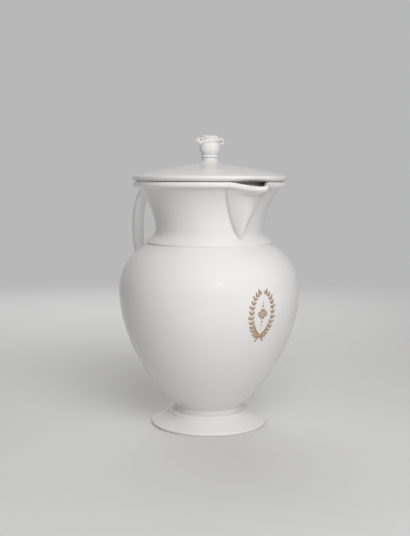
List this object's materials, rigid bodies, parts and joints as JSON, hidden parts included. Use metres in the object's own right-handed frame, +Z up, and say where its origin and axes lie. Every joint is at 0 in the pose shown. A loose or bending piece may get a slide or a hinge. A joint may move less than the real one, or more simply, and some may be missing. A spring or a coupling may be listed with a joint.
{
  "type": "decoction pot",
  "caption": "Covered porcelain decoction pot: pear-shaped belly on a spreading foot, V-shaped pouring beak, strap handle opposite it, domed lid with an urn knob that lifts off.",
  "frame": {"origin": "bottom centre of the whole part's box, on the plane the foot ring stands on; the pot's own turning axis is 24.5 mm towards +X from it, because the handle reaches further than the beak", "axes": "+Z up along the turning axis, +X towards the pouring beak, the strap handle towards -X, +Y to the left when looking along +X"},
  "size_m": [0.1922, 0.1434, 0.2292],
  "materials": {
    "porcelain": "gloss"
  },
  "bodies": {
    "pot": {"foot": "porcelain", "belly": "porcelain", "neck": "porcelain", "spout": "porcelain", "handle": "porcelain"},
    "lid": {"lid": "porcelain", "lid_flange": "porcelain", "knob_foot": "porcelain", "knob_bead": "porcelain", "knob_bowl": "porcelain", "knob_collar": "porcelain", "knob_scroll_left": "porcelain", "knob_scroll_right": "porcelain", "knob_cap": "porcelain"}
  },
  "joints": [
    {"name": "lid_lift", "type": "slide", "parent": "pot", "child": "lid", "axis": [0, 0, 1], "range_m": [0, 0.06]}
  ]
}
